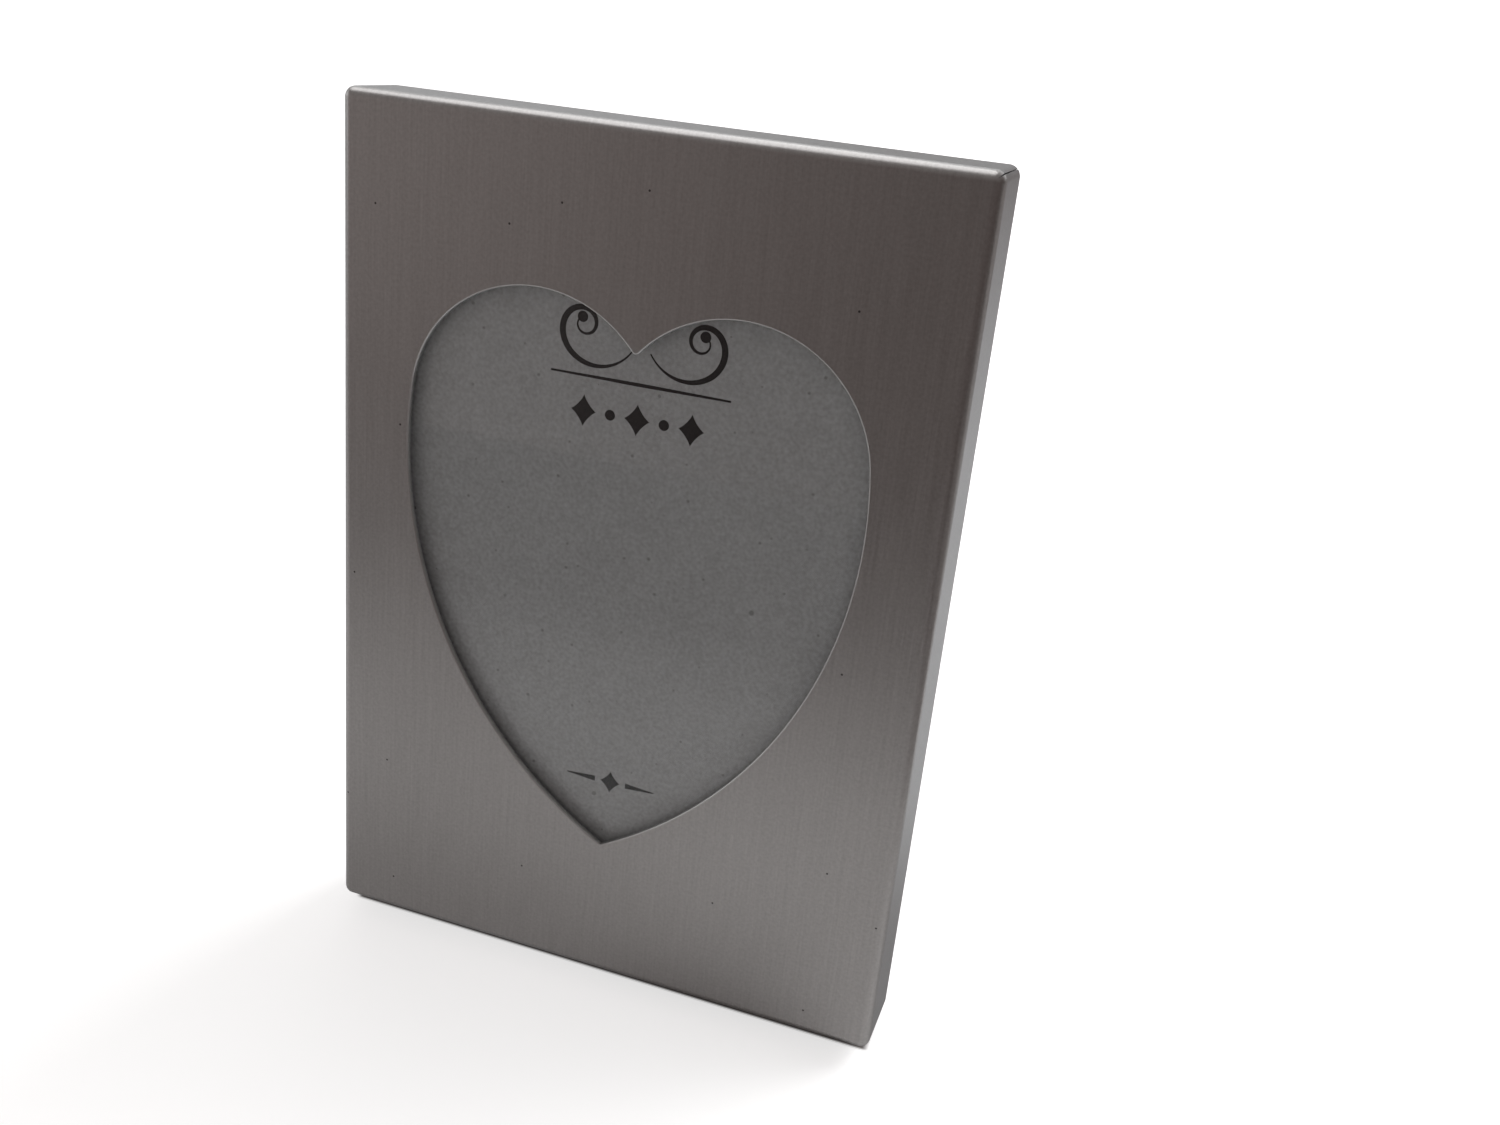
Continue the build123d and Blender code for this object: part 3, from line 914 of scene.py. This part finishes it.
def ornament_mesh(insert):
    """The print: scrolls over a swelled rule, a row of lozenges, and a small foot ornament."""
    bm = bmesh.new()
    low = -insert.depth
    high = low + insert.ink_height
    for side in (1, -1):
        line = scroll_line(insert, side)
        swell = [math.sin(math.pi * step / SCROLL_STEPS) ** SWELL_POWER for step in range(SCROLL_STEPS + 1)]
        widths = [insert.scroll_width * (SCROLL_THIN + (1 - SCROLL_THIN) * amount) for amount in swell]
        stroke(bm, line, widths, low, high)
        eye = EYE_SIZE * insert.scroll_width
        patch(bm, lozenge(line[-1], eye, eye, ROUND_SIDES), low, high)
    half = insert.rule_length / 2
    steps = range(-RULE_STEPS, RULE_STEPS + 1)
    rule = [Vector((half * step / RULE_STEPS, insert.rule_level)) for step in steps]
    widths = [insert.rule_width * (1 - RULE_TAPER * abs(point.x) / half) for point in rule]
    stroke(bm, rule, widths, low, high)
    for number in range(-MOTIFS_A_SIDE, MOTIFS_A_SIDE + 1):
        centre = (number * insert.motif_pitch, insert.rule_level - ROW_DROP)
        if number % 2:
            dot = DOT_SIZE * insert.motif
            patch(bm, lozenge(centre, dot, dot, ROUND_SIDES), low, high)
        else:
            patch(bm, lozenge(centre, insert.motif, LOZENGE_RISE * insert.motif), low, high)
    patch(bm, lozenge((0, insert.foot_level), *FOOT_SIZE), low, high)
    steps = range(DASH_STEPS + 1)
    for side in (1, -1):
        dash = [Vector((side * (DASH_START + DASH_PITCH * step), insert.foot_level)) for step in steps]
        taper = [DASH_WIDTH * (1 - DASH_TAPER * step) for step in steps]
        stroke(bm, dash, taper, low, high)
    return bm


def lathe(bm, section, place):
    """A closed round solid from (radius, height) pairs that start and end on the axis."""
    rows = []
    for radius, height in section[1:-1]:
        rows.append(ring(bm, circle(radius), height, place))
    skin(bm, rows, closed=True)
    for row, (_, height) in ((rows[0], section[0]), (rows[-1], section[-1])):
        pole = bm.verts.new(place @ Vector((0, 0, height)))
        for a, b in zip(row, row[1:] + row[:1]):
            bm.faces.new((a, b, pole))


def rivet(bm, back, grip, place):
    """A rivet whose soft pan head sits at height 0 and whose tail is hammered flush below."""
    head, crown, height = back.rivet_head, back.rivet_crown, back.rivet_height
    ease, lip = back.rivet_ease, back.rivet_lip
    slope = math.atan2(height, head - crown)
    flat = crown - ease * math.tan(slope / 2)
    section = [(0, -grip), (back.rivet_shank, -grip), (back.rivet_shank, 0), (head - lip, 0)]
    section.append((head - lip * math.cos(slope), lip * math.sin(slope)))
    section += rounding((flat, height - ease), ease, math.pi / 2 - slope, math.pi / 2, CROWN_STEPS)
    lathe(bm, section + [(0, height)], place)


def cross(span, width):
    """Outline of a cross recess, as 12 points."""
    reach, half = span / 2, width / 2
    arm = [(reach, -half), (reach, half), (half, half)]
    points = []
    for quarter in range(4):
        turn = Matrix.Rotation(quarter * math.pi / 2, 2)
        points += [turn @ Vector(point) for point in arm]
    return points


def pan_screw(bm, back, place):
    """A pan-head screw with a cross recess. Its head sits at height 0."""
    head, flat, crown = back.screw_head, back.screw_flat, back.screw_crown
    shank, tail = back.screw_shank, back.screw_length
    shoulder = head - flat
    section = [(shank, back.screw_point - tail), (shank, 0), (head - SCREW_LIP, 0), (head, SCREW_LIP)]
    section += rounding((flat, crown - shoulder), shoulder, 0, math.pi / 2, CROWN_STEPS)
    rows = [ring(bm, circle(radius), height, place) for radius, height in section]
    skin(bm, rows, closed=True)
    point = bm.verts.new(place @ Vector((0, 0, -tail)))
    for a, b in zip(rows[0], rows[0][1:] + rows[0][:1]):
        bm.faces.new((a, b, point))
    mouth = ring(bm, cross(back.slot_length, back.slot_width), crown, place)
    span_share, width_share = RECESS_BOTTOM
    outline = cross(back.slot_length * span_share, back.slot_width * width_share)
    bottom = ring(bm, outline, crown - back.slot_depth, place)
    skin(bm, [mouth, bottom], closed=True)
    fill(bm, rows[-1], mouth)
    fill(bm, bottom)


def button_outline(back, inset):
    """Outline of a turn button round its eye and its tip, drawn in by an inset."""
    lean = math.acos((back.button_eye - back.button_tip) / back.button_reach)
    steps = ROUND_STEPS // 2
    eye = arc(Vector((0, 0)), back.button_eye - inset, lean, 2 * math.pi - lean, steps)
    tip = arc(Vector((back.button_reach, 0)), back.button_tip - inset, -lean, lean, steps)
    return eye + tip


def button_mesh(back):
    """A turn button with rounded edges. It lies on height 0, with its pivot at the origin."""
    bm = bmesh.new()
    edge, top = back.button_edge, back.button_thickness
    section = rounding((edge, edge), edge, -math.pi / 2, -math.pi)
    section += rounding((edge, top - edge), edge, math.pi, math.pi / 2)
    outside = [ring(bm, button_outline(back, inset), height) for inset, height in section]
    skin(bm, outside, closed=True)
    hole_edge = edge / 2
    levels = [(hole_edge, 0), (0, hole_edge), (0, top - hole_edge), (hole_edge, top)]
    hole = [ring(bm, circle(back.button_hole + flare), height) for flare, height in levels]
    skin(bm, hole, closed=True)
    for row in (0, -1):
        fill(bm, outside[row], hole[row])
    return bm


def button_joints():
    """The joints of the turn buttons, with the name of the node that each one turns."""
    for name, joint in joints.items():
        if name.startswith("button_"):
            yield joint, f"turn_{joint['child']}"


class PHOTO_FRAME_OT_shell(Operator):
    """Fold the satin aluminium shell round its heart window"""

    bl_idname = "photo_frame.shell"
    bl_label = "Front shell"

    def execute(self, context):
        shell = context.scene.frame_shell
        metals = [satin_aluminium(shell), cut_aluminium(shell)]
        bm = shell_mesh(shell)
        piece("satin_shell", bm, face_frame(shell), metals, "frame", ["front_shell"])
        return {"FINISHED"}


class PHOTO_FRAME_OT_pane(Operator):
    """Set the clear pane behind the window"""

    bl_idname = "photo_frame.pane"
    bl_label = "Glass pane"

    def execute(self, context):
        shell = context.scene.frame_shell
        piece(
            "clear_pane", pane_mesh(shell), face_frame(shell), [clear_glass(shell)],
            "frame", ["glass_pane"],
        )
        return {"FINISHED"}


class PHOTO_FRAME_OT_insert(Operator):
    """Lay the paper insert and its printed ornament behind the pane"""

    bl_idname = "photo_frame.insert"
    bl_label = "Paper insert"

    def execute(self, context):
        insert = context.scene.frame_insert
        dress("photo_insert", insert_paper(insert))
        on_face = face_frame(context.scene.frame_shell)
        piece("printed_ornament", ornament_mesh(insert), on_face, [printed_ink(insert)], "frame")
        return {"FINISHED"}


class PHOTO_FRAME_OT_back(Operator):
    """Finish the ring, the layers, the back board and the easel leg"""

    bl_idname = "photo_frame.back"
    bl_label = "Back and leg"

    def execute(self, context):
        back = context.scene.frame_back
        dress("inner_frame", moulded_plastic(back), back.moulded_edge)
        dress("mounting_tape", foam_tape(back))
        dress("filler_card", grey_card(back))
        board = hardboard(back)
        flock = black_flock(back)
        dress("back_panel", board)
        dress("easel_leg", board)
        dress("back_flock", flock)
        dress("leg_flock", flock)
        return {"FINISHED"}


class PHOTO_FRAME_OT_hinge(Operator):
    """Finish the easel hinge and set its rivets"""

    bl_idname = "photo_frame.hinge"
    bl_label = "Easel hinge"

    def execute(self, context):
        back = context.scene.frame_back
        metal = nickel_plate(back)
        for node in ("hinge_plate", "leg_hinge_leaf", "hinge_pin"):
            dress(node, metal, back.eased_edge)
        rear = face_frame(context.scene.frame_shell) @ Matrix.Rotation(math.pi, 4, "Y")
        level = back.hinge_level + back.plate_rivet_rise
        bm = bmesh.new()
        for side in (1, -1):
            seat = Vector((side * back.plate_rivet_pitch / 2, level, back.plate_back))
            rivet(bm, back, back.plate_grip, Matrix.Translation(seat))
        piece("plate_rivets", bm, rear, [metal], "frame", ["hinge_rivets"])
        along_leg = axes_at(Vector(leg_fold["pos_m"]), -RIGHT, leg_up, leg_out)
        bm = bmesh.new()
        for side in (1, -1):
            seat = Vector((side * back.leg_rivet_pitch / 2, -back.leg_rivet_drop, back.leg_back))
            rivet(bm, back, back.leg_grip, Matrix.Translation(seat))
        piece("leg_round_rivets", bm, along_leg, [metal], "leg", ["leg_rivets"])
        return {"FINISHED"}


class PHOTO_FRAME_OT_buttons(Operator):
    """Put the four turn buttons on their screws"""

    bl_idname = "photo_frame.buttons"
    bl_label = "Turn buttons"

    def execute(self, context):
        back = context.scene.frame_back
        metal = bpy.data.materials["nickel_plate"]
        screws = bmesh.new()
        for joint, node in button_joints():
            pivot = Vector(joint["pos_m"])
            inward = -RIGHT if pivot.x > 0 else RIGHT
            turned = axes_at(pivot, inward, -face_out.cross(inward), -face_out)
            piece(f"{node}_plate", button_mesh(back), turned, [metal], joint["child"], [node])
            pan_screw(screws, back, turned @ Matrix.Translation((0, 0, back.screw_seat)))
        piece("pan_screws", screws, Matrix.Identity(4), [metal], "frame", ["button_screws"])
        return {"FINISHED"}


class PHOTO_FRAME_OT_stage(Operator):
    """Lay the floor, set the lights and place the camera"""

    bl_idname = "photo_frame.stage"
    bl_label = "Stage"

    def execute(self, context):
        stage = context.scene.frame_stage
        self.floor(stage, context.scene.frame_shell)
        self.room(context.scene, stage)
        key = self.light("key_light", stage.key_power, stage.key_size, stage.key_place)
        key.visible_glossy = False
        card = self.light("card_light", stage.card_power, stage.card_size, stage.card_place)
        card.visible_diffuse = False
        self.camera(context.scene, stage)
        context.scene.view_settings.view_transform = "Standard"
        return {"FINISHED"}

    def contact(self, nodes, shell, across, along):
        """How far a point of the floor lies under the shell's bottom side, from 0 to 1."""
        half = shell.width / 2
        front = cad_box[0][1]
        rear = front + shell.depth
        begins, full = CONTACT_FRONT
        inside = nodes.step(across * across, half ** 2, (half - CONTACT_SIDE) ** 2)
        behind = nodes.step(along, front + begins, front + full)
        before = nodes.step(along, rear + CONTACT_REAR, rear - CONTACT_REAR)
        return inside * behind * before

    def floor_part(self, nodes, part, across, along):
        """How strongly a part of the floor shows at a point."""
        amount = part.strength
        for low, high in part.across:
            amount = amount * nodes.step(across, low, high)
        for low, high in part.along:
            amount = amount * nodes.step(along, low, high)
        return amount

    def floor(self, stage, shell):
        """A pale floor. The camera sees it plain, but for a strip under the shell that shows the real shade
        and is painted darker there as a painted shadow.

        Mirrored and bounced light meets it with painted shade in some parts and a painted glow of light
        in one, in place of a real room round the object.
        """
        bm = bmesh.new()
        half = stage.floor_size / 2
        corners = ring(bm, [(x * half, y * half) for x, y in CORNERS], -stage.floor_gap)
        bm.faces.new(corners)
        mesh = bpy.data.meshes.new("pale_floor")
        bm.to_mesh(mesh)
        bm.free()
        nodes = material_nodes("pale_floor")
        seen = nodes.node("ShaderNodeLightPath", output="Is Camera Ray")
        across, along, _ = nodes.split(nodes.local())
        # Painted shade for mirrored and bounced light: the floor is darker far in front and in the listed parts
        dim = nodes.step(along, -stage.floor_near, -stage.floor_end)
        for part in PAINTED_SHADE_FLOOR:
            dim = dim + self.floor_part(nodes, part, across, along)
        mirrored = nodes.blend(dim, solid(stage.floor), solid(stage.floor_painted_shade))
        # Under the shell the camera's lift is taken off, which shows the real shade there
        under = self.contact(nodes, shell, across, along)
        # A painted glow of light for mirrored and bounced light, lifting the shade just in front of the shell
        painted_glow = self.floor_part(nodes, PAINTED_LIGHT_FLOOR, across, along)
        lifted = seen * (1 - under) + (1 - seen) * painted_glow
        # Painted shadow: the camera sees the floor under the shell painted darker
        shown = nodes.blend(under, solid(stage.floor), solid(stage.floor_painted_shade))
        mesh.materials.append(nodes.principled({
            "Base Color": nodes.blend(seen, mirrored, shown),
            "Roughness": 0.7,
            "Specular IOR Level": 0.2,
            "Emission Color": nodes.blend(lifted, (0, 0, 0, 1), (1, 1, 1, 1)),
            "Emission Strength": stage.floor_lift,
        }))
        add_object("pale_floor", mesh)

    def room(self, scene, stage):
        """A dim room, paler at its left, ceiling and far wall, with a plain backdrop for the camera."""
        scene.world = bpy.data.worlds.new("room")
        nodes = Nodes(scene.world)
        toward = nodes.node("ShaderNodeTexCoord", output="Generated")
        side, depth, height = nodes.split(toward)
        light = nodes.blend(nodes.step(side, *LEFT_SIDE), solid(stage.room), solid(stage.left_side))
        light = nodes.blend(nodes.step(height, *OVERHEAD), light, solid(stage.overhead))
        light = nodes.blend(nodes.step(side, *LEFT_WINDOW), light, solid(stage.left_window))
        light = nodes.blend(nodes.step(depth, *FAR_WALL), light, solid(stage.far_wall))
        seen = nodes.node("ShaderNodeLightPath", output="Is Camera Ray")
        shown = nodes.blend(seen, light, solid(stage.backdrop))
        nodes.surface(nodes.node("ShaderNodeBackground", {}, {"Color": shown}), "ShaderNodeOutputWorld")

    def light(self, name, watts, size, origin):
        """A soft square light aimed at the object."""
        data = bpy.data.lights.new(name, "AREA")
        data.energy = watts
        data.size = size
        made = add_object(name, data)
        made.location = origin
        made.rotation_euler = Vector(origin).to_track_quat("Z", "Y").to_euler()
        return made

    def camera(self, scene, stage):
        """A camera that isn't rolled, placed from the middle of the face."""
        data = bpy.data.cameras.new("camera")
        data.lens = stage.lens
        data.clip_start = 1 * MM
        made = add_object("camera", data)
        seen_from = Vector((stage.camera_right, stage.camera_up, stage.camera_out))
        made.location = face_frame(scene.frame_shell) @ seen_from
        made.rotation_euler = (stage.camera_tilt, 0.0, stage.camera_turn)
        scene.camera = made


OPERATORS = (
    PHOTO_FRAME_OT_shell,
    PHOTO_FRAME_OT_pane,
    PHOTO_FRAME_OT_insert,
    PHOTO_FRAME_OT_back,
    PHOTO_FRAME_OT_hinge,
    PHOTO_FRAME_OT_buttons,
    PHOTO_FRAME_OT_stage,
)
SETTINGS = {
    "frame_shell": ShellSettings,
    "frame_insert": InsertSettings,
    "frame_back": BackSettings,
    "frame_stage": StageSettings,
}


class PHOTO_FRAME_PT_panel(Panel):
    """Sizes, colours and pieces of the photo frame"""

    bl_idname = "PHOTO_FRAME_PT_panel"
    bl_label = "Photo frame"
    bl_space_type = "VIEW_3D"
    bl_region_type = "UI"
    bl_category = "Photo frame"

    def draw(self, context):
        for kind in OPERATORS:
            self.layout.operator(kind.bl_idname)
        for name, kind in SETTINGS.items():
            box = self.layout.box()
            box.label(text=kind.__doc__)
            for field in kind.__annotations__:
                box.prop(getattr(context.scene, name), field)


def register():
    for kind in (*SETTINGS.values(), *OPERATORS, PHOTO_FRAME_PT_panel):
        bpy.utils.register_class(kind)
    for name, kind in SETTINGS.items():
        setattr(bpy.types.Scene, name, PointerProperty(type=kind))


def unregister():
    for name in SETTINGS:
        delattr(bpy.types.Scene, name)
    for kind in reversed((*SETTINGS.values(), *OPERATORS, PHOTO_FRAME_PT_panel)):
        bpy.utils.unregister_class(kind)


def main():
    register()
    bpy.ops.photo_frame.shell()
    bpy.ops.photo_frame.pane()
    bpy.ops.photo_frame.insert()
    bpy.ops.photo_frame.back()
    bpy.ops.photo_frame.hinge()
    bpy.ops.photo_frame.buttons()
    bpy.ops.photo_frame.stage()


if __name__ == "__main__":
    main()
